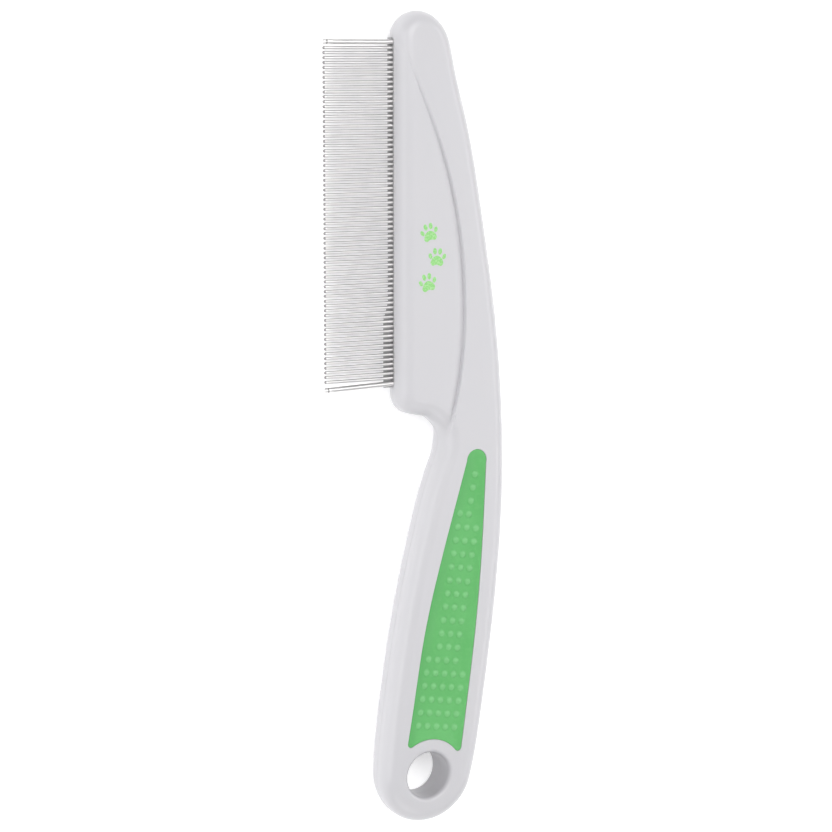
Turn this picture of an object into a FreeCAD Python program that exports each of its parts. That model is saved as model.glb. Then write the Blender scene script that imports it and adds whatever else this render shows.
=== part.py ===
import FreeCAD, Part
import math
import os

V = FreeCAD.Vector

# Flea comb, in millimetres.
# Origin: centre of the hanging hole, on the parting plane between the two handle shells.
# +Y runs along the handle towards the head, the pins point along -X, and +Z is the front face.

# Thickness, measured from the parting plane to one face
handle_half = 5.0
head_half = 4.2
edge_round = 3.6

# Hanging end
hole_radius = 5.5
hole_lip = 1.2
end_centre = (0.55, 0.1)
end_radius = 12.2
end_left_degrees = 177.0
end_right_degrees = -13.5
end_drop = 1.1
end_drop_from = 12.0

# Spine, the raised band that runs from the handle up the head's back and fades out near the top
fade_from = 125.0
fade_to = 176.0

# Head
head_edge_x = -7.3
head_corner_y = 91.9
head_low_y = 86.6
head_low_slope = -0.2
head_corner = 5.2
notch_length = 2.4
dome_radius = 6.25
dome_centre_y = 173.8

# Points that the long edges pass through, from the hanging end towards the head
right_points = [
    (15.0, 11.2), (18.4, 35.5), (20.85, 65.0), (20.6, 88.0), (18.6, 110.5),
    (15.15, 133.0), (11.0, 155.0), (7.65, 168.7), (5.2, 176.4),
]
left_points = [(-9.5, 20.2), (-5.8, 41.7), (-2.2, 57.1), (2.65, 73.2)]
notch_points = [(1.8, 85.3), (3.7, 83.4)]
neck_point = (4.7, 80.6)
crease_points = [
    (4.7, 80.6), (6.6, 87.5), (9.0, 102.5), (9.2, 117.0), (7.4, 133.0), (3.3, 148.5), (-4.5, 167.4),
]

# Pins
fine_count = 70
fine_low_y = 95.55
fine_high_y = 171.6
lower_guard_y = 94.25
upper_guard_y = 172.95
lower_guard_lean_degrees = 2.0
pin_tip_x = -25.0
pin_inner_x = -2.6
fine_radius = 0.4
guard_radius = 0.6
guard_extra = 0.2
groove_depth = 0.13
groove_width = 0.3

# Pin carrier, with a thin ledge behind the pins' roots that is wider towards the handle
slot_half = 0.65
slot_end_gap = 1.0
slot_deep = 1.0
carrier_inner_x = -1.5
lip_recess = 0.15
ledge_thick = 0.2
ledge_narrow = 0.9
ledge_wide = 2.1
ledge_wide_to_y = 109.0
ledge_narrow_from_y = 113.0

# Walls and the hollow inside the shells
wall = 2.4
cavity_half = 2.0
cavity_low_y = 10.0
rib_thick = 1.2
rib_short = 12.0

# Pegs that hold the two shells together
peg_places = [(4.5, 97.0), (3.0, 135.0), (13.0, 84.0), (1.5, 16.0)]
post_radius = 2.4
peg_radius = 1.2
peg_gap = 0.05
peg_rise = 1.5

# Grip inlay
grip_recess = 0.35
grip_thick = 1.4
grip_left = [(-6.25, 6.27), (-4.3, 17.6), (-1.4, 34.5), (3.4, 53.3), (9.9, 75.3)]
grip_right = [(15.1, 74.6), (14.3, 57.8), (12.3, 34.0), (9.5, 12.5), (8.25, 3.2)]
grip_top = (12.6, 77.9)
grip_arc_radius = 8.85
grip_arc_middle_degrees = 80.0
grip_corner = 0.9
grip_low_part_y = 12.0

# Raised dots on the grip: columns run along the grip, and each starts at its own row from the head end
dot_rows = 20
dot_last_middle = (1.9, 11.8)
dot_lean_degrees = 9.7
dot_row_pitch = 3.21
dot_column_pitch = 2.45
dot_column_starts = [14, 3, 0, 4, 15]
dot_radius = 0.95
dot_height = 0.32
dot_foot = 0.2

# Far enough to be outside the comb on every side
beyond_x = 60.0
beyond_y = 200.0
beyond_z = 60.0


def at(point, z=0.0):
    return V(point[0], point[1], z)


def direction(point_from, point_to):
    return (at(point_to) - at(point_from)).normalize()


def curve(points, start_direction, end_direction):
    """A smooth edge through the points, with the directions given at its two ends."""
    spline = Part.BSplineCurve()
    spline.interpolate(
        Points=[at(p) for p in points],
        InitialTangent=start_direction,
        FinalTangent=end_direction,
    )
    return spline.toShape()


def arc(first, middle, last):
    return Part.Arc(at(first), at(middle), at(last)).toShape()


def line(first, last):
    return Part.LineSegment(at(first), at(last)).toShape()


def on_circle(radius, degrees):
    angle = math.radians(degrees)
    return (radius * math.cos(angle), radius * math.sin(angle))


def outline(inset=0.0):
    """The comb's outer edge on the parting plane, or a line inside it by inset, as one closed wire."""

    def on_end(degrees):
        x, y = on_circle(end_radius - inset, degrees)
        return (end_centre[0] + x, end_centre[1] + y)

    up = V(0, 1, 0)
    edge_x = head_edge_x + inset
    low_y = head_low_y + inset
    corner = head_corner - inset
    dome = dome_radius - inset
    bevel = 1 - math.sqrt(0.5)
    low_end_x = edge_x + corner
    low_direction = V(1, head_low_slope, 0)
    top = (edge_x + dome, dome_centre_y + dome)
    dome_left = (edge_x, dome_centre_y)
    corner_top = (edge_x, head_corner_y)
    corner_low = (low_end_x, low_y)
    notch = (low_end_x + notch_length, low_y + head_low_slope * notch_length)
    neck = (neck_point[0] + inset, neck_point[1])
    right = [(x - inset, y) for x, y in right_points]
    left = [(x + inset, y) for x, y in left_points]
    into_neck = [(x + inset, y + inset / 2) for x, y in notch_points]
    end_middle_degrees = (end_left_degrees + end_right_degrees) / 2 - 180
    corner_middle = (edge_x + corner * bevel, low_y + corner * bevel)
    right_direction = at(on_circle(1, end_right_degrees + 90))
    left_direction = at(on_circle(1, end_left_degrees + 90))
    edges = [
        arc(on_end(end_left_degrees), on_end(end_middle_degrees), on_end(end_right_degrees)),
        curve([on_end(end_right_degrees)] + right + [top], right_direction, V(-1, 0, 0)),
        arc(top, (edge_x + dome * bevel, dome_centre_y + dome * (1 - bevel)), dome_left),
        line(dome_left, corner_top),
        curve([corner_top, corner_middle, corner_low], up * -1, low_direction),
        line(corner_low, notch),
        curve([notch] + into_neck + [neck], low_direction, up * -1),
        curve([neck] + left[::-1] + [on_end(end_left_degrees)], up * -1, left_direction),
    ]
    return Part.Wire(edges)


def upright(wire, height):
    return Part.Face(wire).extrude(V(0, 0, height))


def box(low, high):
    size = V(*high) - V(*low)
    return Part.makeBox(size.x, size.y, size.z, V(*low))


def side_profile():
    """Everything under the handle's face: flat along the handle, lower at both ends."""
    past = 1.0
    low_y = -end_radius - past
    high_y = dome_centre_y + dome_radius + past

    def point(y, z):
        return V(-beyond_x, y, z)

    def slope_arc(flat_y, far_y, drop):
        """An arc that leaves the flat face at flat_y and is drop lower at far_y."""
        middle_y = (flat_y + far_y) / 2
        return Part.Arc(
            point(flat_y, handle_half),
            point(middle_y, handle_half - drop / 4),
            point(far_y, handle_half - drop),
        ).toShape()

    past_end = ((low_y - end_drop_from) / (-end_radius - end_drop_from)) ** 2
    past_fade = ((high_y - fade_from) / (fade_to - fade_from)) ** 2
    end_z = handle_half - end_drop * past_end
    top_z = handle_half - (handle_half - head_half) * past_fade
    edges = [
        slope_arc(end_drop_from, low_y, handle_half - end_z),
        Part.LineSegment(point(end_drop_from, handle_half), point(fade_from, handle_half)).toShape(),
        slope_arc(fade_from, high_y, handle_half - top_z),
        Part.LineSegment(point(high_y, top_z), point(high_y, 0)).toShape(),
        Part.LineSegment(point(high_y, 0), point(low_y, 0)).toShape(),
        Part.LineSegment(point(low_y, 0), point(low_y, end_z)).toShape(),
    ]
    wire = Part.Wire(Part.__sortEdges__(edges))
    return Part.Face(wire).extrude(V(2 * beyond_x, 0, 0))


def rim_edges(solid):
    """The edges round the upper rim of an upright solid, without the lines that cross its face."""
    shortest = 0.05
    found = []
    for edge in solid.Edges:
        bounds = edge.BoundBox
        if bounds.ZMin > head_half / 2 and bounds.YLength > shortest:
            found.append(edge)
    return found


def rounded(solid):
    return solid.makeFillet(edge_round, rim_edges(solid))


def crease_side():
    """A tall block on the pins' side of the crease, which runs straight on past both ends."""
    before_length = 4.0
    beyond_length = 30.0
    start = direction(crease_points[0], crease_points[1])
    end = direction(crease_points[-2], crease_points[-1])
    before = at(crease_points[0]) - start * before_length
    beyond = at(crease_points[-1]) + end * beyond_length
    low_corner = V(-beyond_x, before.y, 0)
    high_corner = V(-beyond_x, beyond.y, 0)
    first = at(crease_points[0])
    last = at(crease_points[-1])
    edges = [
        Part.LineSegment(low_corner, before).toShape(),
        Part.LineSegment(before, first).toShape(),
        curve(crease_points, start, end),
        Part.LineSegment(last, beyond).toShape(),
        Part.LineSegment(beyond, high_corner).toShape(),
        Part.LineSegment(high_corner, low_corner).toShape(),
    ]
    block = upright(Part.Wire(edges), 6 * handle_half)
    block.translate(V(0, 0, -2 * handle_half))
    return block


def lip_edges(body):
    """The edges round the hanging hole's mouth."""
    tolerance = 0.01
    found = []
    for edge in body.Edges:
        middle = edge.valueAt((edge.FirstParameter + edge.LastParameter) / 2)
        at_hole = abs(math.hypot(middle.x, middle.y) - hole_radius) < tolerance
        if at_hole and edge.BoundBox.ZMin > head_half / 2:
            found.append(edge)
    return found


def half_body():
    """The comb's body above the parting plane: the head panel, and the raised handle and spine."""
    wire = outline()
    raised = rounded(upright(wire, 3 * handle_half).common(side_profile()))
    panel = rounded(upright(wire, head_half))
    panel_side = crease_side()
    body = raised.cut(panel_side).fuse(panel.common(panel_side)).removeSplitter()
    body = body.cut(Part.makeCylinder(hole_radius, 4 * handle_half, V(0, 0, -2 * handle_half)))
    return body.makeFillet(hole_lip, lip_edges(body))


def grip_outline():
    low_left = grip_left[0]
    low_right = grip_right[-1]
    top_left = grip_left[-1]
    top_right = grip_right[0]
    edges = [
        curve(grip_left, direction(*grip_left[:2]), direction(*grip_left[-2:])),
        arc(top_left, grip_top, top_right),
        curve(grip_right, direction(*grip_right[:2]), direction(*grip_right[-2:])),
        arc(low_right, on_circle(grip_arc_radius, grip_arc_middle_degrees), low_left),
    ]
    return Part.Wire(edges)


def grip_block(low_z, height):
    """The grip's outline as a block, with its two corners by the hanging hole rounded."""
    tolerance = 0.01
    block = upright(grip_outline(), height)
    block.translate(V(0, 0, low_z))
    corners = []
    for edge in block.Edges:
        bounds = edge.BoundBox
        upright_line = bounds.XLength < tolerance and bounds.YLength < tolerance
        if upright_line and bounds.YMax < grip_low_part_y:
            corners.append(edge)
    return block.makeFillet(grip_corner, corners)


def dots(surface_z):
    """Low domes standing on the grip's surface, each with its foot a little way into the grip."""
    lean = math.radians(dot_lean_degrees)
    along = V(math.sin(lean), math.cos(lean), 0) * dot_row_pitch
    across = V(math.cos(lean), -math.sin(lean), 0) * dot_column_pitch
    ball = (dot_radius ** 2 + dot_height ** 2) / (2 * dot_height)
    foot_degrees = math.degrees(math.asin((ball - dot_height - dot_foot) / ball))
    made = []
    for column, first_row in enumerate(dot_column_starts):
        for row in range(first_row, dot_rows):
            place = at(dot_last_middle, surface_z + dot_height - ball)
            place = place + along * (dot_rows - 1 - row) + across * (column - 2)
            made.append(Part.makeSphere(ball, place, V(0, 0, 1), foot_degrees, 90, 360))
    return made


def front_grip():
    surface_z = handle_half - grip_recess
    return grip_block(surface_z - grip_thick, grip_thick).fuse(dots(surface_z)).removeSplitter()


def cavity():
    """The hollow inside one shell."""
    inner = upright(outline(wall), cavity_half)
    return inner.cut(box((-beyond_x, -beyond_y, -beyond_z), (beyond_x, cavity_low_y, beyond_z)))


def slot():
    """The opening in the head's edge that the pins come out of."""
    low = (head_edge_x - slot_deep, lower_guard_y - slot_end_gap, -slot_half)
    high = (head_edge_x + wall + slot_deep, upper_guard_y + slot_end_gap, slot_half)
    return box(low, high)


def ledge():
    """The thin strip behind the pins' roots."""
    low_y = lower_guard_y - slot_end_gap
    high_y = upper_guard_y + slot_end_gap
    points = [
        (head_edge_x + wall, low_y),
        (head_edge_x + wall, high_y),
        (head_edge_x - ledge_narrow, high_y),
        (head_edge_x - ledge_narrow, ledge_narrow_from_y),
        (head_edge_x - ledge_wide, ledge_wide_to_y),
        (head_edge_x - ledge_wide, low_y),
    ]
    edges = [line(first, last) for first, last in zip(points, points[1:] + points[:1])]
    strip = upright(Part.Wire(edges), ledge_thick)
    strip.translate(V(0, 0, -slot_half))
    return strip


def carrier():
    """The bar that holds the pins' roots, with a lip that fills the slot, and the ledge."""
    both = cavity()
    both = both.fuse(mirrored(both)).removeSplitter()
    low_y = lower_guard_y - 2 * slot_end_gap
    high_y = upper_guard_y + 2 * slot_end_gap
    bar = both.common(box((-beyond_x, low_y, -beyond_z), (carrier_inner_x, high_y, beyond_z)))
    behind_edge = box((head_edge_x + lip_recess, -beyond_y, -beyond_z), (beyond_x, beyond_y, beyond_z))
    lip = slot().common(behind_edge)
    return bar.fuse([lip, ledge()]).removeSplitter()


def posts():
    """What stands inside a shell: the pegs' posts, and the rib that backs the pin carrier."""
    made = []
    for place in peg_places:
        made.append(Part.makeCylinder(post_radius, cavity_half, at(place)))
    rib_low = (carrier_inner_x, lower_guard_y, 0)
    rib_high = (carrier_inner_x + rib_thick, upper_guard_y - rib_short, cavity_half)
    made.append(box(rib_low, rib_high))
    return made


def pegs(radius, low_z, high_z):
    return [Part.makeCylinder(radius, high_z - low_z, at(place, low_z)) for place in peg_places]


def shell_half():
    """What the front and rear shells have in common, built as the front one."""
    solid = half_body()
    surface_z = handle_half - grip_recess
    pocket = grip_block(surface_z - grip_thick, 2 * grip_thick)
    hollow = cavity().cut(posts())
    solid = solid.cut(pocket).cut(hollow).cut(slot())
    return solid


def mirrored(solid):
    return solid.mirror(V(0, 0, 0), V(0, 0, 1))


def front_shell(half):
    return half.cut(pegs(peg_radius + peg_gap, 0, peg_rise + peg_gap))


def rear_shell(half):
    return mirrored(half).fuse(pegs(peg_radius, -cavity_half, peg_rise)).removeSplitter()


def revolved_pin(profile, y):
    """A round pin along X, made by turning its half profile in the XY plane about Y=0."""
    wire = Part.Wire(profile)
    solid = Part.Face(wire).revolve(V(0, 0, 0), V(1, 0, 0), 360)
    solid.translate(V(0, y, 0))
    return solid


def fine_pin(y):
    r = fine_radius
    tip = pin_tip_x
    bend = r * (1 - math.sqrt(0.5))
    edges = [
        arc((tip, 0), (tip + bend, r * math.sqrt(0.5)), (tip + r, r)),
        line((tip + r, r), (pin_inner_x, r)),
        line((pin_inner_x, r), (pin_inner_x, 0)),
        line((pin_inner_x, 0), (tip, 0)),
    ]
    return revolved_pin(edges, y)


def guard_pin(y):
    """A thicker pin with a domed end and a groove behind the dome."""
    r = guard_radius
    tip = pin_tip_x - guard_extra
    bend = r * (1 - math.sqrt(0.5))
    groove = tip + 1.5 * r
    neck = r - groove_depth
    edges = [
        arc((tip, 0), (tip + bend, r * math.sqrt(0.5)), (tip + r, r)),
        line((tip + r, r), (groove, r)),
        line((groove, r), (groove, neck)),
        line((groove, neck), (groove + groove_width, neck)),
        line((groove + groove_width, neck), (groove + groove_width, r)),
        line((groove + groove_width, r), (pin_inner_x, r)),
        line((pin_inner_x, r), (pin_inner_x, 0)),
        line((pin_inner_x, 0), (tip, 0)),
    ]
    return revolved_pin(edges, y)


def fine_y(index):
    return fine_low_y + (fine_high_y - fine_low_y) * index / (fine_count - 1)


def write(name, shape):
    shape.exportStep("parts/" + name + ".step")


def main():
    os.makedirs("parts", exist_ok=True)
    lower_guard = guard_pin(lower_guard_y)
    lower_guard.rotate(V(head_edge_x, lower_guard_y, 0), V(0, 0, 1), lower_guard_lean_degrees)
    upper_guard = guard_pin(upper_guard_y)
    fine = [fine_pin(fine_y(i)) for i in range(fine_count)]
    bar = carrier().cut([lower_guard, upper_guard] + fine)
    grip = front_grip()
    half = shell_half()
    write("front_shell", front_shell(half))
    write("rear_shell", rear_shell(half))
    write("front_grip", grip)
    write("rear_grip", mirrored(grip))
    write("pin_carrier", bar)
    write("lower_guard_pin", lower_guard)
    write("upper_guard_pin", upper_guard)
    for pair in range(len(fine) // 2):
        write("fine_pins_%02d" % (pair + 1), Part.makeCompound(fine[2 * pair:2 * pair + 2]))


main()
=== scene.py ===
import math
import random

import bpy
import numpy as np
from mathutils import Matrix, Vector
from mathutils.geometry import delaunay_2d_cdt

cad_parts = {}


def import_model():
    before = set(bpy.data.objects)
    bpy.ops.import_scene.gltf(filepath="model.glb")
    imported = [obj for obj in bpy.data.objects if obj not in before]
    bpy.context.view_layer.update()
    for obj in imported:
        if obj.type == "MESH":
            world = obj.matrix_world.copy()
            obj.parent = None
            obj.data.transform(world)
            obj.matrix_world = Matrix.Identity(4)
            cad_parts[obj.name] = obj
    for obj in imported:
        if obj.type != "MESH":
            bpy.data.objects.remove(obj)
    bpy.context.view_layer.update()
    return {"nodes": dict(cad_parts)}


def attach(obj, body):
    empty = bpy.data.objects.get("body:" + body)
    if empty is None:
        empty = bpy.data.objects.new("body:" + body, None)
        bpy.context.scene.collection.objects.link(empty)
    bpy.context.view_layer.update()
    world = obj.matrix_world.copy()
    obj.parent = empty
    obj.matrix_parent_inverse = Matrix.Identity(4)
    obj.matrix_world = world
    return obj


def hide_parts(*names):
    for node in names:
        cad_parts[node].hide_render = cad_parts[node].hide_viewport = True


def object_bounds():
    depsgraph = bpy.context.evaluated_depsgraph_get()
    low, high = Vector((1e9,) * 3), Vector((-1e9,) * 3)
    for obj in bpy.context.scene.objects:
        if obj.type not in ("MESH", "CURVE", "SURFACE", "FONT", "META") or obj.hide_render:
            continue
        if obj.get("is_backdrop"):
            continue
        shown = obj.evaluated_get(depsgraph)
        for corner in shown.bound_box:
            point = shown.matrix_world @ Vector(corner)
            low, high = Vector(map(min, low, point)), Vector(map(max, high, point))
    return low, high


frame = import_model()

# Flea comb. Shapes are worked out in millimetres in the CAD frame, and written to Blender in metres.
# The shells, grips and pins get finer pieces of their own. The pin carrier keeps its CAD solid.

MM = 0.001

# ---------------------------------------------------------------- sizes, as in the CAD part

HANDLE_HALF = 5.0
HEAD_HALF = 4.2
EDGE_ROUND = 3.6
HOLE_RADIUS = 5.5
HOLE_LIP = 1.2
END_CENTRE = (0.55, 0.1)
END_RADIUS = 12.2
END_FROM = 177.0
END_TO = 346.5
END_DROP = 1.1
END_DROP_FROM = 12.0
FADE_FROM = 125.0
FADE_TO = 176.0
HEAD_EDGE_X = -7.3
HEAD_CORNER_Y = 91.9
HEAD_LOW_Y = 86.6
HEAD_CORNER = 5.2
NOTCH_LENGTH = 2.4
NOTCH_FALL = 0.2
DOME_RADIUS = 6.25
DOME_Y = 173.8
RIGHT = [(15.0, 11.2), (18.4, 35.5), (20.85, 65.0), (20.6, 88.0), (18.6, 110.5),
         (15.15, 133.0), (11.0, 155.0), (7.65, 168.7), (5.2, 176.4)]
LEFT = [(-9.5, 20.2), (-5.8, 41.7), (-2.2, 57.1), (2.65, 73.2)]
NOTCH = [(1.8, 85.3), (3.7, 83.4)]
NECK = (4.7, 80.6)
CREASE = [(4.7, 80.6), (6.6, 87.5), (9.0, 102.5), (9.2, 117.0), (7.4, 133.0), (3.3, 148.5), (-4.5, 167.4)]
GRIP_LEFT = [(-6.25, 6.27), (-4.3, 17.6), (-1.4, 34.5), (3.4, 53.3), (9.9, 75.3)]
GRIP_RIGHT = [(15.1, 74.6), (14.3, 57.8), (12.3, 34.0), (9.5, 12.5), (8.25, 3.2)]
GRIP_TOP = (12.6, 77.9)
GRIP_ARC = 8.85
GRIP_CORNER = 0.9
FINE_COUNT = 70
FINE_LOW_Y = 95.55
FINE_HIGH_Y = 171.6
LOWER_GUARD_Y = 94.25
UPPER_GUARD_Y = 172.95
LOWER_GUARD_LEAN = math.radians(2.0)
PIN_TIP_X = -25.0
PIN_ROOT_X = -2.6
FINE_RADIUS = 0.4
GUARD_RADIUS = 0.6
SLOT_HALF = 0.66
SLOT_LOW_Y = 93.22
SLOT_HIGH_Y = 173.98
DOT_ROWS = 20
DOT_LAST = (1.9, 11.8)
DOT_LEAN = math.radians(9.7)
DOT_ROW = 3.21
DOT_COLUMN = 2.45
DOT_STARTS = [14, 3, 0, 4, 15]

# ---------------------------------------------------------------- sizes of what the skins add

SEAM_HALF = 0.02
SEAM_FOOT = 0.10
SEAM_DEPTH = 0.09
BORE_SEAM_DEPTH = 0.07
FLANGE = 2.4
BORE_FLANGE = 2.0
SKIRT_Z = 3.3
POCKET_ROUND = 0.10
GRIP_ROUND = 0.14
GRIP_GAP = 0.02
GRIP_SUNK = 0.10
GRIP_HOLLOW = 0.30
GRIP_HOLLOW_OVER = 3.2
GRIP_RIM = 4.0
DOT_RADIUS = 1.0
DOT_HEIGHT = 0.37
TOP_GAP = 0.01
# The step up from the head panel to the spine: its width, and each stretch that widens it, as the most that
# it adds, the Y where it begins, and the length over which it grows.
CREASE_WIDTH = 0.38
CREASE_WIDER = [(0.25, 89.0, -4.0), (2.4, 80.5, -6.0), (0.5, 142.0, 24.0)]
CREASE_CROWN = 2.4
# Where each part of the crease changes along Y, and the length over which it does.
BELOW_NECK = (81.0, 8.0)
ABOVE_NECK = (83.0, 5.0)
DIP_START = (77.0, 5.0)
LINE_START = (78.5, 4.0)
CREASE_END = (172.0, 12.0)
DIP_DEPTH = 0.16
DIP_HALF = 1.5
LINE_DEPTH = 0.07
LINE_DEEPER = 0.05
LINE_HALF = 0.5
LINE_FINER = 0.28
LINE_OFFSET = 0.05
# Distances from the crease at which the face has a row of vertices, closer together where it curves.
CREASE_ROWS = (-6, -4.6, -3.5, -2.7, -2.1, -1.6, -1.2, -0.85, -0.55, -0.3, -0.12, 0.0, 0.04, 0.09, 0.15, 0.22,
               0.3, 0.4, 0.52, 0.7, 0.95, 1.3, 1.8, 2.5, 3.5)
CREASE_REACH = 6.6
FINE_NOSE = 0.75
GUARD_NOSE = 0.7
GUARD_LONGER = 0.2
GROOVE_DEPTH = 0.13
GROOVE_CHAMFER = 0.03
HELD_SHARE = 0.2
FAR = 9.0


# ---------------------------------------------------------------- curves in the plane

def unit(v):
    v = np.array(v, float)
    return v / np.linalg.norm(v)


def spline(points, start, end, step=0.1):
    """Points about step apart on a smooth curve through points, with its two end directions given."""
    p = np.array(points, float)
    h = np.linalg.norm(np.diff(p, axis=0), axis=1)
    n = len(p)
    a = np.zeros((n, n))
    b = np.zeros((n, 2))
    a[0, 0] = a[-1, -1] = 1
    b[0] = unit(start)
    b[-1] = unit(end)
    for i in range(1, n - 1):
        a[i, i - 1:i + 2] = (h[i], 2 * (h[i - 1] + h[i]), h[i - 1])
        b[i] = 3 * (h[i] / h[i - 1] * (p[i] - p[i - 1]) + h[i - 1] / h[i] * (p[i + 1] - p[i]))
    m = np.linalg.solve(a, b)
    out = []
    for i in range(n - 1):
        u = np.linspace(0, 1, max(2, int(h[i] / step)), endpoint=False)[:, None]
        out.append((2 * u**3 - 3 * u**2 + 1) * p[i] + (u**3 - 2 * u**2 + u) * h[i] * m[i]
                   + (3 * u**2 - 2 * u**3) * p[i + 1] + (u**3 - u**2) * h[i] * m[i + 1])
    return np.vstack(out + [p[-1:]])


def guided(points, step):
    """A smooth curve that starts and ends in the directions of its first and last two points."""
    return spline(points, np.subtract(points[1], points[0]), np.subtract(points[-1], points[-2]), step)


def arc(centre, radius, first, last, step=0.1):
    """Points on an arc; angles in degrees."""
    n = max(3, int(abs(math.radians(last - first)) * radius / step))
    a = np.radians(np.linspace(first, last, n))
    return np.column_stack([centre[0] + radius * np.cos(a), centre[1] + radius * np.sin(a)])


def bearing(point, centre=(0, 0)):
    """The direction of a point from a centre, in degrees."""
    return math.degrees(math.atan2(point[1] - centre[1], point[0] - centre[0]))


def circle_centre(a, b, c):
    """The centre of the circle through three points."""
    (ax, ay), (bx, by), (cx, cy) = a, b, c
    d = 2 * (ax * (by - cy) + bx * (cy - ay) + cx * (ay - by))
    x = ((ax**2 + ay**2) * (by - cy) + (bx**2 + by**2) * (cy - ay) + (cx**2 + cy**2) * (ay - by)) / d
    y = ((ax**2 + ay**2) * (cx - bx) + (bx**2 + by**2) * (ax - cx) + (cx**2 + cy**2) * (bx - ax)) / d
    return x, y


def ring_again(loop):
    """A closed loop with its first point repeated at its end."""
    return np.vstack([loop, loop[:1]])


def closed(parts, step):
    """One closed loop of evenly spaced points from curves laid end to end."""
    ring = ring_again(np.vstack([part[:-1] for part in parts]))
    run = np.concatenate([[0], np.cumsum(np.linalg.norm(np.diff(ring, axis=0), axis=1))])
    n = int(round(run[-1] / step))
    at = np.linspace(0, run[-1], n, endpoint=False)
    return np.column_stack([np.interp(at, run, ring[:, k]) for k in (0, 1)])


def inward(loop):
    """Unit normals to the left of a loop's direction of travel."""
    t = np.roll(loop, -1, axis=0) - np.roll(loop, 1, axis=0)
    t /= np.linalg.norm(t, axis=1)[:, None]
    n = np.column_stack([-t[:, 1], t[:, 0]])
    for _ in range(3):
        n = (np.roll(n, 1, axis=0) + 2 * n + np.roll(n, -1, axis=0)) / 4
    return n / np.linalg.norm(n, axis=1)[:, None]


def inside(points, loop):
    """Which points are inside a closed loop."""
    x, y = points[:, 0], points[:, 1]
    found = np.zeros(len(points), bool)
    for (x0, y0), (x1, y1) in zip(loop, np.roll(loop, -1, axis=0)):
        if y0 != y1:
            crosses = (y0 > y) != (y1 > y)
            found ^= crosses & (x < (x1 - x0) * (y - y0) / (y1 - y0) + x0)
    return found


def nearest(points, line):
    """Distance from each point to a polyline, and the side that it is on (+1 left), as arrays."""
    a, b = line[:-1], line[1:]
    ab = b - a
    length2 = (ab ** 2).sum(1)
    best = np.full(len(points), 1e9)
    side = np.ones(len(points))
    for i in range(len(a)):
        ap = points - a[i]
        u = np.clip((ap @ ab[i]) / length2[i], 0, 1)
        d = np.linalg.norm(ap - u[:, None] * ab[i], axis=1)
        closer = d < best
        best[closer] = d[closer]
        cross = ab[i][0] * ap[:, 1] - ab[i][1] * ap[:, 0]
        side[closer] = np.where(cross[closer] > 0, 1.0, -1.0)
    return best, side


def outline(step=0.22):
    """The comb's outline, counter-clockwise from the left of the handle's rounded end."""
    e = END_RADIUS
    first = math.radians(END_FROM)
    last = math.radians(END_TO - 360)
    start = (END_CENTRE[0] + e * math.cos(last), END_CENTRE[1] + e * math.sin(last))
    finish = (END_CENTRE[0] + e * math.cos(first), END_CENTRE[1] + e * math.sin(first))
    top = (HEAD_EDGE_X + DOME_RADIUS, DOME_Y + DOME_RADIUS)
    bevel = 1 - math.sqrt(0.5)
    corner_low = (HEAD_EDGE_X + HEAD_CORNER, HEAD_LOW_Y)
    low = (1, -NOTCH_FALL)
    notch = (corner_low[0] + NOTCH_LENGTH, HEAD_LOW_Y - NOTCH_FALL * NOTCH_LENGTH)
    corner_middle = (HEAD_EDGE_X + HEAD_CORNER * bevel, HEAD_LOW_Y + HEAD_CORNER * bevel)
    straight = np.array([(HEAD_EDGE_X, DOME_Y), (HEAD_EDGE_X, HEAD_CORNER_Y)])
    return closed([
        arc(END_CENTRE, e, END_FROM, END_TO),
        spline([start] + RIGHT + [top], (-math.sin(last), math.cos(last)), (-1, 0)),
        arc((top[0], DOME_Y), DOME_RADIUS, 90, 180),
        straight,
        spline([(HEAD_EDGE_X, HEAD_CORNER_Y), corner_middle, corner_low], (0, -1), low),
        np.array([corner_low, notch]),
        spline([notch] + NOTCH + [NECK], low, (0, -1)),
        spline([NECK] + LEFT[::-1] + [finish], (0, -1), (-math.sin(first), math.cos(first))),
    ], step)


def round_off(one, two, radius):
    """Joins curve one's end to curve two's start with an arc, where both have the inside on their left."""
    def shifted(line):
        t = np.gradient(line, axis=0)
        t /= np.linalg.norm(t, axis=1)[:, None]
        return line + radius * np.column_stack([-t[:, 1], t[:, 0]])
    a, b = shifted(one), shifted(two)
    gap = np.linalg.norm(a[:, None] - b[None], axis=2)
    i, j = np.unravel_index(gap.argmin(), gap.shape)
    centre = (a[i] + b[j]) / 2
    start = math.atan2(*(one[i] - centre)[::-1])
    end = math.atan2(*(two[j] - centre)[::-1])
    while end < start:
        end += 2 * math.pi
    return one[:i + 1], arc(centre, radius, math.degrees(start), math.degrees(end), 0.05), two[j:]


def grip_outline(step=0.25):
    """Counter-clockwise from the left curve's lower end: arc over the hole, right edge, top, left edge."""
    fine = 0.05
    low_left, top_left = GRIP_LEFT[0], GRIP_LEFT[-1]
    low_right, top_right = GRIP_RIGHT[-1], GRIP_RIGHT[0]
    over = arc((0, 0), GRIP_ARC, bearing(low_left), bearing(low_right), fine)
    centre = circle_centre(top_right, GRIP_TOP, top_left)
    radius = math.dist(top_right, centre)
    crown = arc(centre, radius, bearing(top_right, centre), bearing(top_left, centre), fine)
    down = guided(GRIP_LEFT, fine)[::-1]
    up = guided(GRIP_RIGHT, fine)[::-1]
    down, corner_a, over = round_off(down, over, GRIP_CORNER)
    over, corner_b, up = round_off(over, up, GRIP_CORNER)
    return closed([over, corner_b, up, crown, down, corner_a], step)


# ---------------------------------------------------------------- the face's height over the plane

def smooth(t):
    """Eases from 0 to 1 as t does."""
    t = np.clip(t, 0, 1)
    return t * t * t * (t * (6 * t - 15) + 10)


def after(y, stretch):
    """From 0 to 1 as Y goes on past a place, over a length."""
    place, length = stretch
    return smooth((y - place) / length)


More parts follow.
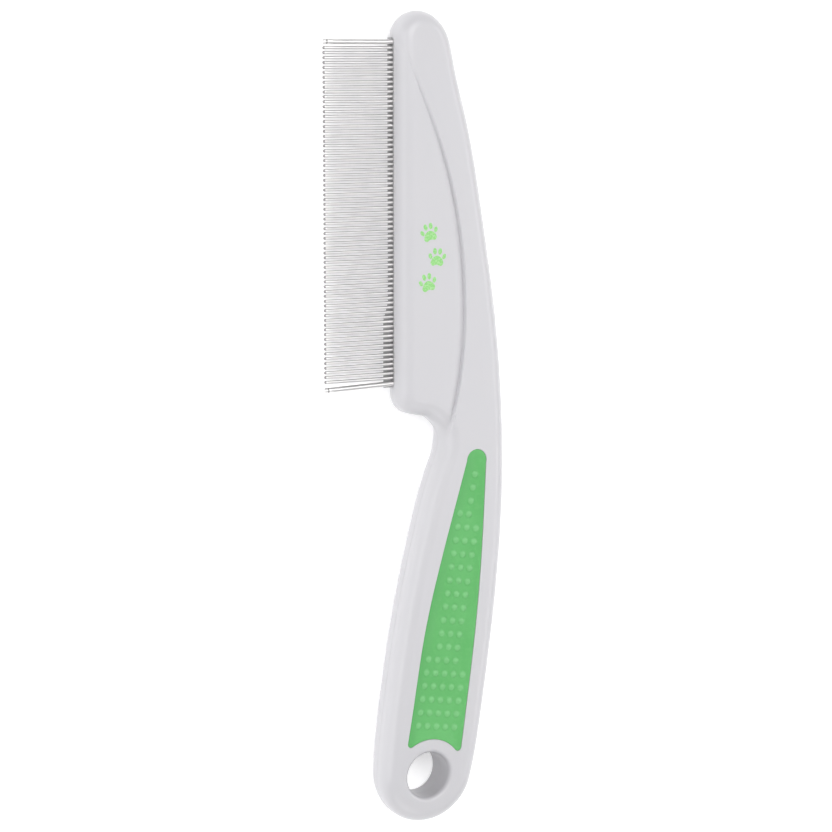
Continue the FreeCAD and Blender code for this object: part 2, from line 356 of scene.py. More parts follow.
def before(y, stretch):
    """From 0 to 1 as Y goes back past a place, over a length."""
    place, length = stretch
    return smooth((place - y) / length)


# The crease, and the same carried on straight past its ends, so that every point is on one side of it.
ends = [unit(np.subtract(CREASE[1], CREASE[0])), unit(np.subtract(CREASE[-1], CREASE[-2]))]
crease_line = spline(CREASE, ends[0], ends[1], 0.5)
crease_long = np.vstack([crease_line[0] - 12 * ends[0], crease_line, crease_line[-1] + 20 * ends[1]])


def spine(y):
    """Height of the raised handle along Y, which falls towards its rounded end and fades into the head."""
    low = np.clip((END_DROP_FROM - y) / (END_RADIUS + END_DROP_FROM), 0, None)
    high = np.clip((y - FADE_FROM) / (FADE_TO - FADE_FROM), 0, None)
    return HANDLE_HALF - END_DROP * low**2 - (HANDLE_HALF - HEAD_HALF) * high**2


def height(points):
    """Height of the outer face: the raised handle and spine, and the lower head panel beside the crease."""
    y = points[:, 1]
    d, side = nearest(points, crease_long)
    s = -d * side
    step = spine(y) - HEAD_HALF
    strength = np.clip(step / (HANDLE_HALF - HEAD_HALF), 0, 1)
    width = sum((more * smooth((y - place) / over) for more, place, over in CREASE_WIDER), CREASE_WIDTH)
    rise = 1 - (1 - np.clip(s / width, 0, 1)) ** CREASE_CROWN
    rise = rise + (1 - rise) * before(y, BELOW_NECK)
    end_fade = before(y, CREASE_END)
    fade = after(y, DIP_START) * end_fade
    dip = DIP_DEPTH * strength * fade * np.exp(-(s / DIP_HALF) ** 2) * (1 - rise)
    above_neck = after(y, ABOVE_NECK)
    deep = (LINE_DEPTH + LINE_DEEPER * above_neck) * after(y, LINE_START) * end_fade
    line = deep * np.exp(-((s - LINE_OFFSET) / (LINE_HALF - LINE_FINER * above_neck)) ** 2)
    return HEAD_HALF + step * rise - dip - line


def slope(points, reach=0.04):
    """Gradient of the outer face's height."""
    dx = np.array([reach, 0.0])
    dy = np.array([0.0, reach])
    return np.column_stack([
        (height(points + dx) - height(points - dx)) / (2 * reach),
        (height(points + dy) - height(points - dy)) / (2 * reach),
    ])


# ---------------------------------------------------------------- meshes from rings and filled faces

class Skin:
    """Vertices, their normals and faces of one surface, in millimetres."""

    def __init__(self):
        self.points = []
        self.normals = []
        self.faces = []
        self.count = 0

    def add(self, xy, z, normals):
        z = np.broadcast_to(z, (len(xy),))
        self.points.append(np.column_stack([xy, z]))
        n = np.array(normals, float)
        self.normals.append(n / np.linalg.norm(n, axis=1)[:, None])
        start = self.count
        self.count += len(xy)
        return np.arange(start, self.count)

    def join(self, one, two):
        """Quads between two closed rings of the same length."""
        for i in range(len(one)):
            j = (i + 1) % len(one)
            self.faces.append((int(one[i]), int(one[j]), int(two[j]), int(two[i])))

    def grow(self, before, xy, z, normals):
        """A new ring, joined to the one before it."""
        ring = self.add(xy, z, normals)
        self.join(before, ring)
        return ring

    def fill(self, rings, keep, extra, level, lean):
        """Triangles between rings that are already in place, with extra points inside, where keep allows."""
        every = np.vstack(self.points)
        known = np.concatenate(rings)
        flat = [Vector(p) for p in every[known][:, :2]] + [Vector(p) for p in extra]
        edges = []
        at = 0
        for ring in rings:
            n = len(ring)
            edges += [(at + i, at + (i + 1) % n) for i in range(n)]
            at += n
        g = lean(extra)
        new = self.add(extra, level(extra), np.column_stack([-g, np.ones(len(extra))]))
        ids = np.concatenate([known, new])
        verts, _, faces, origins, _, _ = delaunay_2d_cdt(flat, edges, [], 0, 1e-7, True)
        back = [ids[o[0]] if o else -1 for o in origins]
        middle = np.array([[sum(verts[i][k] for i in f) / 3 for k in (0, 1)] for f in faces])
        good = keep(middle)
        for f, ok in zip(faces, good):
            if ok and all(back[i] >= 0 for i in f):
                a, b, c = (verts[i] for i in f)
                turn = (b[0] - a[0]) * (c[1] - a[1]) - (b[1] - a[1]) * (c[0] - a[0])
                tri = tuple(int(back[i]) for i in f)
                self.faces.append(tri if turn > 0 else tri[::-1])

    def make(self, name, flip=False):
        """A Blender object. flip mirrors it in the parting plane."""
        co = np.vstack(self.points) * MM
        no = np.vstack(self.normals)
        faces = self.faces
        if flip:
            co = co * (1, 1, -1)
            no = no * (1, 1, -1)
            faces = [f[::-1] for f in faces]
        mesh = bpy.data.meshes.new(name)
        mesh.from_pydata(co.tolist(), [], faces)
        mesh.update()
        mesh.polygons.foreach_set("use_smooth", [True] * len(mesh.polygons))
        mesh.normals_split_custom_set_from_vertices([tuple(n) for n in no])
        obj = bpy.data.objects.new(name, mesh)
        bpy.context.collection.objects.link(obj)
        return obj


def downward(n):
    return np.tile((0.0, 0.0, -1.0), (n, 1))


def upright(n2):
    """Normals in the plane, as they are on an upright wall."""
    return np.column_stack([n2, np.zeros(len(n2))])


def rounded_normals(angle, gradient, outward):
    """Normals on a rounded edge, from outward at its foot, at angle 0, to the face's own at its top."""
    up = np.full(len(gradient), math.sin(angle))
    return np.column_stack([math.cos(angle) * outward - math.sin(angle) * gradient, up])


def staggered(x_range, y_range, step, sway, wave):
    """A grid of points whose columns sway, so that the triangles between them don't line up."""
    gx, gy = np.meshgrid(np.arange(*x_range, step), np.arange(*y_range, step))
    gx = gx + sway * np.sin(gy * wave)
    return np.column_stack([gx.ravel(), gy.ravel()])


edge = outline()
edge_in = inward(edge)
pocket = grip_outline()
pocket_in = inward(pocket)


def shell():
    """The front shell's outside: flange, seam groove, wall, hanging hole, grip pocket and face."""
    skin = Skin()
    n = len(edge)
    y = edge[:, 1]
    by_slot = (edge[:, 0] < HEAD_EDGE_X + 0.3) & (y > SLOT_LOW_Y) & (y < SLOT_HIGH_Y)
    from_end = np.minimum(y - SLOT_LOW_Y, SLOT_HIGH_Y - y)
    rounded = np.sqrt(np.clip(1 - (1 - np.clip(from_end / SLOT_HALF, 0, 1)) ** 2, 0, 1))
    lip = np.where(by_slot, np.maximum(SEAM_HALF, SLOT_HALF * rounded), SEAM_HALF)
    groove_tilt = (0, 0, -0.8)

    # the flange on the parting plane, the seam's small groove, and the wall, whose rings stay above both
    ledge_in = skin.add(edge + FLANGE * edge_in, lip, downward(n))
    ledge_out = skin.add(edge + SEAM_DEPTH * edge_in, lip, downward(n))
    skin.join(ledge_out, ledge_in)
    groove = skin.add(edge + SEAM_DEPTH * edge_in, lip, upright(-edge_in) + groove_tilt)
    outer = skin.grow(groove, edge, lip + SEAM_FOOT, upright(-edge_in))
    for theta in np.radians(np.concatenate([[0, 3], np.linspace(8, 90, 22)])):
        xy = edge + EDGE_ROUND * (1 - math.cos(theta)) * edge_in
        z = height(xy) - EDGE_ROUND * (1 - math.sin(theta))
        z = np.maximum(z, lip + 0.12 + 0.01 * theta)
        outer = skin.grow(outer, xy, z, rounded_normals(theta, slope(xy), -edge_in))

    # the hanging hole: seam groove, wall, softened mouth
    a = np.linspace(0, -2 * math.pi, 120, endpoint=False)
    spoke = np.column_stack([np.cos(a), np.sin(a)])
    m = len(a)
    ledge_in = skin.add((HOLE_RADIUS + BORE_FLANGE) * spoke, SEAM_HALF, downward(m))
    ledge_out = skin.add((HOLE_RADIUS + BORE_SEAM_DEPTH) * spoke, SEAM_HALF, downward(m))
    skin.join(ledge_out, ledge_in)
    groove = skin.add((HOLE_RADIUS + BORE_SEAM_DEPTH) * spoke, SEAM_HALF, upright(-spoke) + groove_tilt)
    mouth = skin.grow(groove, HOLE_RADIUS * spoke, SEAM_FOOT, upright(-spoke))
    for phi in np.radians(np.linspace(0, 90, 13)):
        xy = (HOLE_RADIUS + HOLE_LIP * (1 - math.cos(phi))) * spoke
        z = height(xy) - HOLE_LIP * (1 - math.sin(phi))
        mouth = skin.grow(mouth, xy, z, rounded_normals(phi, slope(xy), -spoke))

    # the grip's pocket
    rim = skin.add(pocket[::-1], SKIRT_Z, upright(pocket_in[::-1]))
    for phi in np.radians(np.linspace(0, 90, 6)):
        xy = (pocket - POCKET_ROUND * (1 - math.cos(phi)) * pocket_in)[::-1]
        z = height(xy) - POCKET_ROUND * (1 - math.sin(phi))
        rim = skin.grow(rim, xy, z, rounded_normals(phi, slope(xy), pocket_in[::-1]))

    # the face between them
    face_edge = edge + EDGE_ROUND * edge_in
    pocket_edge = pocket - POCKET_ROUND * pocket_in
    along = spline(CREASE, ends[0], ends[1], 0.7)
    t = np.gradient(along, axis=0)
    t /= np.linalg.norm(t, axis=1)[:, None]
    right_side = np.column_stack([t[:, 1], -t[:, 0]])
    grid = staggered((-12, 22), (-12, 182), 1.4, 0.35, 1.7)
    away, _ = nearest(grid, along)
    extra = np.vstack([along + s * right_side for s in CREASE_ROWS] + [grid[away > CREASE_REACH]])
    room = 0.25
    ok = inside(extra, face_edge) & (nearest(extra, ring_again(face_edge))[0] > room)
    ok &= np.hypot(extra[:, 0], extra[:, 1]) > HOLE_RADIUS + HOLE_LIP + 0.3
    ok &= ~inside(extra, pocket_edge) & (nearest(extra, ring_again(pocket_edge))[0] > room)
    extra = extra[ok]

    def keep(p):
        good = inside(p, face_edge) & ~inside(p, pocket_edge)
        return good & (np.hypot(p[:, 0], p[:, 1]) > HOLE_RADIUS + HOLE_LIP - 0.01)

    skin.fill([outer, mouth, rim], keep, extra, height, slope)
    return skin


def dot_places():
    """The dots' middles: leaning columns, each of which starts at its own row."""
    along = np.array([math.sin(DOT_LEAN), math.cos(DOT_LEAN)]) * DOT_ROW
    across = np.array([math.cos(DOT_LEAN), -math.sin(DOT_LEAN)]) * DOT_COLUMN
    found = []
    for column, first in enumerate(DOT_STARTS):
        for row in range(first, DOT_ROWS):
            found.append(np.array(DOT_LAST) + along * (DOT_ROWS - 1 - row) + across * (column - 2))
    return np.array(found)


def from_dots(points):
    """Distance from each point to the nearest dot's middle, and at most FAR."""
    best = np.full(len(points), FAR)
    for dot in dot_places():
        best = np.minimum(best, np.hypot(*(points - dot).T))
    return best


def grip_marks(places):
    """Where the dots' tops and the painted shade along the left edge are, from 0 to 1."""
    away, _ = nearest(places, guided(GRIP_LEFT, 0.5))
    tops = smooth((DOT_RADIUS - from_dots(places)) / (DOT_RADIUS / 2))
    return {"dot": tops, "rim": 1 - smooth(away / GRIP_RIM)}


def grip():
    """The front grip's outside: wall, rounded edge, and the slightly hollow face with its dots."""
    skin = Skin()
    loop = ring_again(pocket)

    def level(points):
        depth, _ = nearest(points, loop)
        z = spine(points[:, 1]) - GRIP_SUNK - GRIP_HOLLOW * smooth(depth / GRIP_HOLLOW_OVER)
        bump = np.clip(1 - (from_dots(points) / DOT_RADIUS) ** 2, 0, 1)
        return z + np.minimum(DOT_HEIGHT, HANDLE_HALF - TOP_GAP - z) * bump ** 1.3

    def lean(points, reach=0.03):
        dx = np.array([reach, 0.0])
        dy = np.array([0.0, reach])
        return np.column_stack([
            (level(points + dx) - level(points - dx)) / (2 * reach),
            (level(points + dy) - level(points - dy)) / (2 * reach),
        ])

    wall = pocket + GRIP_GAP * pocket_in
    rim = skin.add(wall, SKIRT_Z, upright(-pocket_in))
    for theta in np.radians(np.linspace(0, 90, 7)):
        xy = wall + GRIP_ROUND * (1 - math.cos(theta)) * pocket_in
        z = level(xy) - GRIP_ROUND * (1 - math.sin(theta))
        rim = skin.grow(rim, xy, z, rounded_normals(theta, lean(xy), -pocket_in))
    face_edge = wall + GRIP_ROUND * pocket_in
    extra = []
    turn = np.linspace(0, 2 * math.pi, 18, endpoint=False)
    circle = np.column_stack([np.cos(turn), np.sin(turn)])
    for dot in dot_places():
        extra.append(dot[None])
        extra += [dot + r * circle for r in (0.2, 0.4, 0.57, 0.72, 0.84, 0.93, 1.0, 1.08)]
    grid = staggered((-8, 18), (2, 80), 0.8, 0.2, 1.3)
    extra.append(grid[from_dots(grid) > 1.22])
    extra = np.vstack(extra)
    extra = extra[inside(extra, face_edge) & (nearest(extra, ring_again(face_edge))[0] > 0.15)]
    skin.fill([rim], lambda p: inside(p, face_edge), extra, level, lean)
    return skin


# ---------------------------------------------------------------- pins

def fine_y(index):
    """Where along Y a fine pin is, counted from the handle's end."""
    return FINE_LOW_Y + (FINE_HIGH_Y - FINE_LOW_Y) * index / (FINE_COUNT - 1)


def lathe(profile, y, segments, bow=(0.0, 0.0), lean=0.0):
    """A round bar along X from (x, radius) pairs, bowed very slightly as drawn wire is, or leaning."""
    rows = []
    for x, r in profile:
        u = (x - PIN_ROOT_X) / (PIN_TIP_X - PIN_ROOT_X)
        lift = max(u - HELD_SHARE, 0) ** 2
        middle = y + bow[0] * lift + (x - HEAD_EDGE_X) * math.tan(lean)
        for k in range(segments):
            a = 2 * math.pi * k / segments
            rows.append((x, middle + r * math.cos(a), bow[1] * lift + r * math.sin(a)))
    faces = []
    for i in range(len(profile) - 1):
        for k in range(segments):
            j = (k + 1) % segments
            a, b = i * segments, (i + 1) * segments
            faces.append((a + k, b + k, b + j, a + j))
    faces.append(tuple(range(segments)))
    last = (len(profile) - 1) * segments
    faces.append(tuple(last + k for k in reversed(range(segments))))
    return rows, faces


def pins(name, bars):
    """One object from several bars."""
    points, faces = [], []
    for rows, some in bars:
        start = len(points)
        points += rows
        faces += [tuple(start + i for i in f) for f in some]
    mesh = bpy.data.meshes.new(name)
    mesh.from_pydata([(x * MM, y * MM, z * MM) for x, y, z in points], [], faces)
    mesh.update()
    mesh.polygons.foreach_set("use_smooth", [True] * len(mesh.polygons))
    mesh.set_sharp_from_angle(angle=math.radians(50))
    obj = bpy.data.objects.new(name, mesh)
    bpy.context.collection.objects.link(obj)
    return obj


def shank(radius):
    """The straight part of a pin's profile, from its root."""
    return [(PIN_ROOT_X - 2.0 * i, radius) for i in range(11)]


def nose(tip, length, radius, least, power, count):
    """A pin's domed tip: the part of its profile that closes down to a very small end."""
    found = []
    for a in np.radians(np.linspace(90, 4, count)):
        found.append((tip + length - length * math.cos(a), max(least, radius * math.sin(a) ** power)))
    return found


def fine_profile():
    return shank(FINE_RADIUS) + nose(PIN_TIP_X, FINE_NOSE, FINE_RADIUS, 0.03, 0.8, 9)


def guard_profile():
    r, tip = GUARD_RADIUS, PIN_TIP_X - GUARD_LONGER
    chamfer, bottom = r - GROOVE_CHAMFER, r - GROOVE_DEPTH
    groove = [(0.36, r), (0.31, chamfer), (0.28, bottom), (0.03, bottom), (0.0, chamfer), (-0.05, r)]
    turned = [(tip + 0.95 + x, radius) for x, radius in groove]
    return shank(r) + turned + nose(tip, GUARD_NOSE, r, 0.04, 0.85, 10)


# ---------------------------------------------------------------- materials

class Nodes:
    """One material's nodes. The textures lie in the object's own space."""

    def __init__(self, name):
        self.material = bpy.data.materials.new(name)
        self.material.use_nodes = True
        self.tree = self.material.node_tree
        self.shader = self.tree.nodes["Principled BSDF"]
        coordinates = self.tree.nodes.new("ShaderNodeTexCoord").outputs
        self.where = coordinates["Object"]
        self.normal = coordinates["Normal"]

    def feed(self, socket, value):
        """Links another node's output to a socket, or sets a constant on it."""
        if isinstance(value, bpy.types.NodeSocket):
            self.tree.links.new(value, socket)
        else:
            socket.default_value = value

    def node(self, kind, inputs=(), **settings):
        made = self.tree.nodes.new(kind)
        for key, value in settings.items():
            setattr(made, key, value)
        for key, value in dict(inputs).items():
            self.feed(made.inputs[key], value)
        return made

    def scaled(self, scale):
        return self.node("ShaderNodeMapping", {"Vector": self.where, "Scale": scale}).outputs["Vector"]

    def noise(self, scale, detail=3.0, vector=None, rough=0.5):
        made = self.node("ShaderNodeTexNoise", {
            "Vector": vector or self.where, "Scale": scale, "Detail": detail, "Roughness": rough})
        return made.outputs["Fac"]

    def ramp(self, value, low, high, to_low=0.0, to_high=1.0):
        """Eases from to_low to to_high as the value goes from low to high."""
        return self.node("ShaderNodeMapRange", {
            "Value": value, "From Min": low, "From Max": high, "To Min": to_low, "To Max": to_high},
            interpolation_type="SMOOTHSTEP").outputs["Result"]

    def math(self, kind, a, b=0.0):
        made = self.node("ShaderNodeMath", {0: a, 1: b}, operation=kind)
        return made.outputs["Value"]

    def mix(self, share, one, two):
        """A colour that goes from one to two as share goes from 0 to 1."""
        made = self.node("ShaderNodeMix", data_type="RGBA")
        for key, kind, value in (("Factor", "VALUE", share), ("A", "RGBA", one), ("B", "RGBA", two)):
            self.feed(next(s for s in made.inputs if s.name == key and s.type == kind), value)
        return next(s for s in made.outputs if s.type == "RGBA")

    def bump(self, height_, distance, strength=1.0, after=None):
        inputs = {"Height": height_, "Distance": distance, "Strength": strength}
        if after is not None:
            inputs["Normal"] = after
        return self.node("ShaderNodeBump", inputs).outputs["Normal"]

    def painted(self, name, most):
        """A value stored on the mesh's vertices, which goes from 0 to most."""
        kept = self.node("ShaderNodeAttribute", attribute_name=name, attribute_type="GEOMETRY").outputs["Fac"]
        return self.math("MULTIPLY", kept, most)

    def pointy(self):
        return self.node("ShaderNodeNewGeometry").outputs["Pointiness"]

    def position(self, axis):
        split = self.node("ShaderNodeSeparateXYZ", {"Vector": self.where})
        return split.outputs[axis]

    def facing(self, axis):
        """The surface's own direction along an axis of the object."""
        return self.node("ShaderNodeSeparateXYZ", {"Vector": self.normal}).outputs[axis]

    def to(self, key, socket):
        self.tree.links.new(socket, self.shader.inputs[key])


def shell_plastic():
    m = Nodes("shell_plastic")
    broad = m.noise(45.0, 2.0)
    blotch = m.noise(160.0, 3.0)
    tint = m.mix(m.ramp(broad, 0.25, 0.75), (0.5715, 0.5650, 0.5875, 1), (0.5755, 0.5670, 0.5865, 1))
    tint = m.mix(m.ramp(blotch, 0.20, 0.80, 0.0, 0.25), tint, (0.563, 0.562, 0.582, 1))
    edge_wear = m.ramp(m.pointy(), 0.56, 0.66, 0.0, 0.08)
    tint = m.mix(edge_wear, tint, (0.624, 0.619, 0.624, 1))
    # Painted shade: the hanging hole's wall and mouth are painted darker, where the hole lies in shade.
    tint = m.mix(m.painted("painted_bore_shade", 0.8), tint, (0.430, 0.425, 0.444, 1))
    m.to("Base Color", tint)
    scuffs = m.noise(1.0, 4.0, m.scaled((2600.0, 180.0, 900.0)), 0.65)
    streak = m.ramp(scuffs, 0.60, 0.78)
    # The roughness stays above 0.274, because the denoiser treats gloss below it another way, in patches.
    gloss = m.ramp(blotch, 0.2, 0.8, 0.28, 0.295)
    m.to("Roughness", m.math("ADD", gloss, m.math("MULTIPLY", streak, 0.015)))
    grain = m.noise(5200.0, 2.0)
    ripple = m.noise(95.0, 1.0)
    m.to("Normal", m.bump(ripple, 0.00012, 0.05, m.bump(grain, 0.000012, 0.05)))
    m.shader.inputs["IOR"].default_value = 1.49
    return m.material


def grip_rubber():
    m = Nodes("grip_rubber")
    broad = m.noise(90.0, 3.0)
    fine = m.noise(900.0, 4.0)
    tint = m.mix(m.ramp(broad, 0.35, 0.65), (0.100, 0.416, 0.114, 1), (0.115, 0.440, 0.129, 1))
    tint = m.mix(m.ramp(fine, 0.45, 0.75, 0.0, 0.5), tint, (0.138, 0.465, 0.150, 1))
    # Painted shade along the grip's left edge, where the pocket's wall shades the face.
    tint = m.mix(m.painted("rim", 0.55), tint, (0.081, 0.367, 0.097, 1))
    tint = m.mix(m.painted("dot", 0.75), tint, (0.189, 0.521, 0.202, 1))
    m.to("Base Color", tint)
    m.to("Roughness", m.ramp(fine, 0.3, 0.7, 0.46, 0.60))
    m.to("Normal", m.bump(m.noise(3800.0, 3.0), 0.00003, 0.6))
    m.shader.inputs["Sheen Weight"].default_value = 0.08
    m.shader.inputs["IOR"].default_value = 1.47
    return m.material


def pin_steel(name, dark_from, dark_to, dark):
    """Drawn steel, with painted shade on the sides that face the next pin.

    It has painted shade between two places along X: at the fine pins' tips, or in the guard pins' groove.
    """
    m = Nodes(name)
    drawn = m.noise(1.0, 4.0, m.scaled((250.0, 9000.0, 9000.0)), 0.6)
    cloud = m.noise(240.0, 3.0)
    tint = m.mix(m.ramp(cloud, 0.35, 0.7), (0.96, 0.945, 0.935, 1), (0.89, 0.88, 0.875, 1))
    x = m.position("X")
    soft = 0.00012
    # Painted shade and painted dark reflection at the fine pins' tips, and painted shade in the guard pins'
    # groove.
    tip = m.math("MULTIPLY", m.ramp(x, dark_from + soft, dark_from), m.ramp(x, dark_to - soft, dark_to))
    tint = m.mix(m.math("MULTIPLY", tip, dark), tint, (0.10, 0.095, 0.09, 1))
    # Painted shade on the sides that face the next pin, stronger on the side towards +Y.
    side = m.facing("Y")
    painted_side_shade = m.math("ADD", m.ramp(side, 0.5, 0.9, 0.0, 0.6), m.ramp(side, -0.6, -0.95, 0.0, 0.35))
    tint = m.mix(painted_side_shade, tint, (0.22, 0.22, 0.215, 1))
    m.to("Base Color", tint)
    m.shader.inputs["Metallic"].default_value = 1.0
    m.to("Roughness", m.math("ADD", m.ramp(drawn, 0.3, 0.7, 0.28, 0.38), m.math("MULTIPLY", tip, 0.15)))
    m.to("Normal", m.bump(drawn, 0.00001, 0.5))
    return m.material


def carrier_plastic():
    m = Nodes("carrier_plastic")
    cloud = m.noise(400.0, 3.0)
    m.to("Base Color", m.mix(m.ramp(cloud, 0.35, 0.65), (0.42, 0.42, 0.425, 1), (0.48, 0.48, 0.485, 1)))
    m.to("Roughness", m.ramp(cloud, 0.3, 0.7, 0.5, 0.65))
    m.to("Normal", m.bump(m.noise(4000.0, 2.0), 0.00002, 0.5))
    return m.material


def mark_ink():
    m = Nodes("mark_ink")
    speckle = m.noise(3000.0, 4.0)
    m.to("Base Color", m.mix(m.ramp(speckle, 0.40, 0.70), (0.250, 0.610, 0.180, 1), (0.400, 0.690, 0.320, 1)))
    m.to("Roughness", m.ramp(speckle, 0.3, 0.7, 0.35, 0.5))
    m.to("Normal", m.bump(speckle, 0.00001, 0.4))
    return m.material


def glowing_floor():
    m = Nodes("glowing_floor")
    cloud = m.noise(3.0, 3.0)
    m.to("Base Color", m.mix(m.ramp(cloud, 0.3, 0.7), (0.90, 0.90, 0.90, 1), (0.93, 0.93, 0.93, 1)))
    m.to("Roughness", m.ramp(m.noise(700.0, 2.0), 0.3, 0.7, 0.85, 0.95))
    m.to("Normal", m.bump(m.noise(1500.0, 3.0), 0.00004, 0.3))
    m.shader.inputs["Specular IOR Level"].default_value = 0.2
    m.shader.inputs["Emission Color"].default_value = (1.0, 1.0, 1.0, 1)
    # Painted light: the floor glows, faintly near the comb and more further off, which washes out the comb's
    # shadow and lights its lower edges.
    away = m.node("ShaderNodeVectorMath", {0: m.where}, operation="LENGTH").outputs["Value"]
    m.to("Emission Strength", m.ramp(away, 0.35, 1.2, 0.36, 1.1))
    return m.material


plastic = shell_plastic()
rubber = grip_rubber()
steel = pin_steel("pin_steel", -0.02464, -0.0252, 0.65)
guard_steel = pin_steel("guard_steel", -0.02395, -0.02422, 0.6)
carrier = carrier_plastic()
ink = mark_ink()


def store(obj, name, values):
    """Stores one number for each vertex, which the material reads."""
    obj.data.attributes.new(name, "FLOAT", "POINT").data.foreach_set("value", values)


def dress(obj, material, slot, *nodes):
    """Gives a piece its material and its body, and hides the CAD nodes that it stands for. The slot is not
    used.
    """
    obj.data.materials.clear()
    obj.data.materials.append(material)
    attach(obj, "root")
    if nodes:
        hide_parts(*nodes)


# ---------------------------------------------------------------- the pieces

skin = shell()
places = np.vstack(skin.points)
# Painted shade in the hanging hole: full on its wall, fading out over its rounded mouth.
painted_bore_shade = 1 - smooth((np.hypot(places[:, 0], places[:, 1]) - HOLE_RADIUS) / (0.8 * HOLE_LIP))
for name, node, flip in (("front_shell_skin", "front_shell", False), ("rear_shell_skin", "rear_shell", True)):
    half = skin.make(name, flip)
    store(half, "painted_bore_shade", painted_bore_shade)
    dress(half, plastic, "shell", node)
skin = grip()
marks = grip_marks(np.vstack(skin.points)[:, :2])
for name, node, flip in (("front_grip_pad", "front_grip", False), ("rear_grip_pad", "rear_grip", True)):
    pad = skin.make(name, flip)
    for mark, values in marks.items():
        store(pad, mark, values)
    dress(pad, rubber, "grip", node)

chance = random.Random(7)
fine = fine_profile()
for pair in range(FINE_COUNT // 2):
    bars = []
    for index in (2 * pair, 2 * pair + 1):
        bow = (chance.uniform(-0.07, 0.07), chance.uniform(-0.05, 0.05))
        bars.append(lathe(fine, fine_y(index), 20, bow))
    name = "fine_pins_%02d" % (pair + 1)
    dress(pins(name + "_steel", bars), steel, "pin", name)
guards = (("lower_guard_pin", LOWER_GUARD_Y, LOWER_GUARD_LEAN), ("upper_guard_pin", UPPER_GUARD_Y, 0.0))
for name, y, lean in guards:
    dress(pins(name + "_steel", [lathe(guard_profile(), y, 32, lean=lean)]), guard_steel, "pin", name)

bar = frame["nodes"]["pin_carrier"]
bar.data.materials.clear()
bar.data.materials.append(carrier)


# ---------------------------------------------------------------- printed paw marks on the head panel

PAW_PAD = [(-0.02, -0.42), (0.30, -0.50), (0.47, -0.30), (0.30, 0.02), (0.0, 0.16), (-0.30, 0.02),
           (-0.47, -0.30), (-0.30, -0.50)]
# Each toe's middle, half its width and height, and its lean in degrees, for a paw of size 1.
PAW_TOES = [(-0.50, 0.12, 0.13, 0.19, 24), (-0.19, 0.44, 0.14, 0.21, 8),
            (0.19, 0.44, 0.14, 0.21, -8), (0.50, 0.12, 0.13, 0.19, -24)]
PAW_SIZE = 3.6
# Each paw's middle and its lean in degrees.
PAWS = [((-0.2, 117.6), 12), ((2.2, 123.4), -4), ((0.2, 129.2), 14)]


def blob(points, count):
    """A closed smooth loop through a few points."""
    p = np.array(points, float)
    out = []
    n = len(p)
    for i in range(n):
        p0, p1, p2, p3 = p[i - 1], p[i], p[(i + 1) % n], p[(i + 2) % n]
        for u in np.linspace(0, 1, max(2, count // n), endpoint=False):
            out.append(0.5 * (2 * p1 + (p2 - p0) * u + (2 * p0 - 5 * p1 + 4 * p2 - p3) * u**2
                              + (3 * p1 - p0 - 3 * p2 + p3) * u**3))
    return np.array(out)


def turned_by(loop, degrees):
    """A loop turned counter-clockwise about its own origin."""
    c, s = math.cos(math.radians(degrees)), math.sin(math.radians(degrees))
    return loop @ np.array([[c, s], [-s, c]])


def paw_loops(centre, degrees):
    """A paw's outlines: its pad and four toes."""
    loops = [blob(PAW_PAD, 48)]
    for x, y, w, h, lean in PAW_TOES:
        a = np.linspace(0, 2 * math.pi, 22, endpoint=False)
        toe = np.column_stack([w * np.cos(a), h * np.sin(a)])
        loops.append(turned_by(toe, lean) + (x, y))
    return [turned_by(loop, degrees) * PAW_SIZE + centre for loop in loops]


def paws():
    """The printed marks, as one thin film that lies just over the face."""
    points, faces = [], []
    for centre, degrees in PAWS:
        for loop in paw_loops(np.array(centre), degrees):
            z = height(loop) + 0.02
            start = len(points)
            points += [(x * MM, y * MM, h * MM) for (x, y), h in zip(loop, z)]
            middle = loop.mean(0)
            points.append((middle[0] * MM, middle[1] * MM, float(z.mean()) * MM))
            n = len(loop)
            faces += [(start + i, start + (i + 1) % n, start + n) for i in range(n)]
    mesh = bpy.data.meshes.new("paw_marks")
    mesh.from_pydata(points, [], faces)
    mesh.update()
    obj = bpy.data.objects.new("paw_marks", mesh)
    bpy.context.collection.objects.link(obj)
    return obj


dress(paws(), ink, "grip")


# ---------------------------------------------------------------- floor, lights and camera

def studio_floor(z, reach=4.0):
    """A wide floor just under the comb, which glows as a painted light."""
    mesh = bpy.data.meshes.new("floor")
    corners = [(-reach, -reach), (reach, -reach), (reach, reach), (-reach, reach)]
    mesh.from_pydata([(x, y, z) for x, y in corners], [], [(0, 1, 2, 3)])
    floor = bpy.data.objects.new("floor", mesh)
    floor.data.materials.append(glowing_floor())
    bpy.context.collection.objects.link(floor)
    floor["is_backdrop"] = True


def studio_sky():
    """A dim sky with a bright band at the horizon, where the floor ends."""
    world = bpy.data.worlds.new("studio")
    world.use_nodes = True
    tree = world.node_tree
    sky = tree.nodes["Background"]
    sky.inputs["Color"].default_value = (0.97, 0.98, 1.0, 1)
    way = tree.nodes.new("ShaderNodeSeparateXYZ")
    rise = tree.nodes.new("ShaderNodeMath")
    rise.operation = "ABSOLUTE"
    dim = tree.nodes.new("ShaderNodeMapRange")
    dim.interpolation_type = "SMOOTHSTEP"
    for key, value in (("From Min", 0.14), ("From Max", 0.26), ("To Min", 1.05), ("To Max", 0.12)):
        dim.inputs[key].default_value = value
    tree.links.new(tree.nodes.new("ShaderNodeTexCoord").outputs["Generated"], way.inputs["Vector"])
    tree.links.new(way.outputs["Z"], rise.inputs[0])
    tree.links.new(rise.outputs["Value"], dim.inputs["Value"])
    tree.links.new(dim.outputs["Result"], sky.inputs["Strength"])
    bpy.context.scene.world = world


studio_floor(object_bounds()[0].z)
studio_sky()

aim = Vector((0.0, 0.086, 0.0))


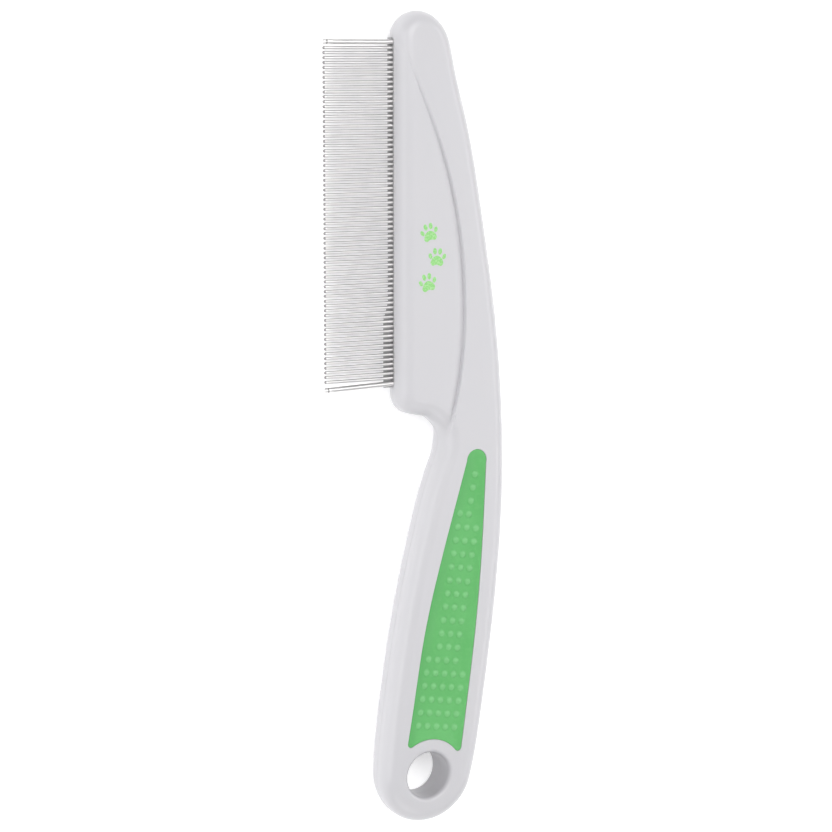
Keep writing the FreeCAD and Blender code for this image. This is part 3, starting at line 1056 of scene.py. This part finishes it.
def softbox(name, towards, distance, size, power):
    """A rectangular light that faces the comb's middle."""
    light = bpy.data.lights.new(name, "AREA")
    light.shape = "RECTANGLE"
    light.size, light.size_y = size
    light.energy = power
    obj = bpy.data.objects.new(name, light)
    way = Vector(towards).normalized()
    obj.location = aim + way * distance
    obj.rotation_euler = (-way).to_track_quat("-Z", "Y").to_euler()
    obj.visible_camera = False
    bpy.context.collection.objects.link(obj)


softbox("overhead", (-0.15, 0.05, 1.0), 1.1, (1.0, 1.0), 1.2)
softbox("right_top", (0.5, -0.1, 0.85), 1.1, (0.5, 0.5), 1.05)
softbox("overhead_far", (0.0, 0.45, 1.0), 1.1, (0.8, 0.6), 5.98)
softbox("left_low", (-0.99, 0.0, 0.139), 0.9, (1.0, 0.3), 0.3)
softbox("left_middle", (-0.883, 0.0, 0.469), 0.9, (1.0, 0.4), 1.7)
softbox("left_high", (-0.743, 0.0, 0.669), 0.9, (1.0, 0.25), 1.95)
softbox("right_box", (0.819, 0.0, 0.574), 0.9, (1.0, 0.4), 3.21)
softbox("near_box", (0.0, -0.866, 0.5), 0.9, (0.6, 0.3), 1.22)

eye = bpy.data.cameras.new("camera")
eye.lens = 106.0
eye.sensor_width = 36.0
eye.clip_start, eye.clip_end = 0.01, 20.0
camera = bpy.data.objects.new("camera", eye)
yaw = math.radians(28.0)
pitch = math.radians(8.46)
distance = 0.5749
target = Vector((-1.11, 86.12, 0.0)) * MM
back = Vector((-math.sin(yaw) * math.cos(pitch), math.sin(pitch), math.cos(yaw) * math.cos(pitch)))
right = Vector((math.cos(yaw), 0.0, math.sin(yaw)))
up = back.cross(right)
turn = Matrix((right, up, back)).transposed().to_4x4()
camera.matrix_world = Matrix.Translation(target + back * distance) @ turn
bpy.context.collection.objects.link(camera)
bpy.context.scene.camera = camera

bpy.context.scene.view_settings.view_transform = "Standard"
bpy.context.scene.view_settings.look = "None"
bpy.context.scene.view_settings.exposure = 0.0
bpy.context.scene.view_settings.gamma = 1.0

bpy.context.view_layer.update()
